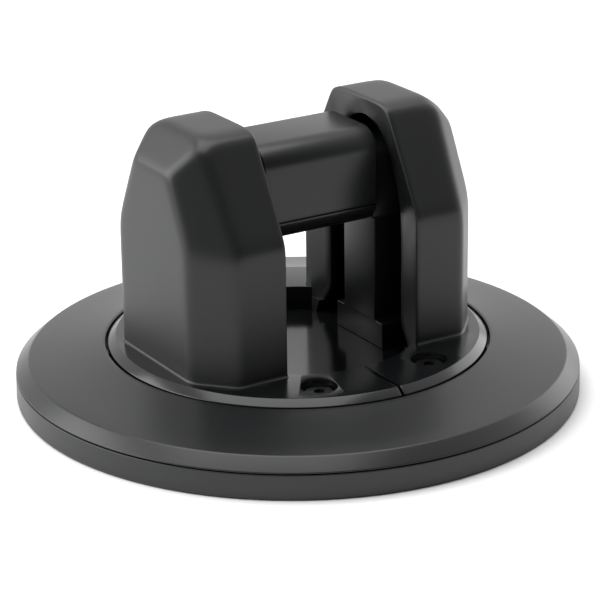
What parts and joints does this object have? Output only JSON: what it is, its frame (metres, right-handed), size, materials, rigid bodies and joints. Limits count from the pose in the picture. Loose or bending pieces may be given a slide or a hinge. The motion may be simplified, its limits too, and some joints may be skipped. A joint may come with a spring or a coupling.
{
  "type": "vacuum suction cup",
  "caption": "Round vacuum suction cup with a turning centre, two hollow hand posts and a straight grip across them.",
  "frame": {"origin": "centre of the sealing face, on the surface that the cup rests on", "axes": "+Z away from the surface, X along the grip, Y through the gap under the grip"},
  "size_m": [0.2058, 0.2058, 0.1053],
  "materials": {
    "rubber": "matt black rubber",
    "moulded_shell": "satin black moulding with a fine grain",
    "gloss_black": "polished black moulding",
    "acetal": "smooth off-white slide plastic",
    "bright_steel": "zinc-plated steel",
    "blackened_steel": "blackened steel"
  },
  "bodies": {
    "base": {"seal_skirt": "rubber", "diaphragm_web": "rubber", "base_plate": "acetal", "outer_ring": "moulded_shell", "stop_pin": "bright_steel", "base_screw_1": "bright_steel", "base_screw_2": "bright_steel", "base_screw_3": "bright_steel", "base_screw_4": "bright_steel", "base_screw_5": "bright_steel", "base_screw_6": "bright_steel"},
    "rotor": {"cam_ring": "acetal", "cam_screw_1": "bright_steel", "cam_screw_2": "bright_steel", "cam_screw_3": "bright_steel", "cam_screw_4": "bright_steel", "rotor_plate": "gloss_black", "cover_right": "moulded_shell", "cover_left": "moulded_shell", "cover_screw_1": "blackened_steel", "cover_screw_2": "blackened_steel", "cover_screw_3": "blackened_steel", "cover_screw_4": "blackened_steel", "leg_right": "gloss_black", "leg_left": "gloss_black", "leg_bolt_1": "bright_steel", "leg_bolt_2": "bright_steel", "leg_bolt_3": "bright_steel", "leg_bolt_4": "bright_steel", "crossbar": "gloss_black", "crossbar_bolt_left": "bright_steel", "crossbar_bolt_right": "bright_steel", "grip_upper": "moulded_shell", "grip_lower": "moulded_shell", "grip_screw_left": "blackened_steel", "grip_screw_right": "blackened_steel"},
    "lift": {"pull_plate": "bright_steel", "diaphragm_pad": "rubber"}
  },
  "joints": [
    {"name": "twist", "type": "hinge", "parent": "base", "child": "rotor", "pos_m": [0, 0, 0], "axis": [0, 0, -1], "range_deg": [0, 90]},
    {"name": "diaphragm_lift", "type": "slide", "parent": "base", "child": "lift", "axis": [0, 0, 1], "range_m": [0, 0.0024], "deforming": ["diaphragm_web"]}
  ],
  "couplings": [
    {"joint": "diaphragm_lift", "follows": "twist", "m_per_rad": 0.0015279}
  ]
}
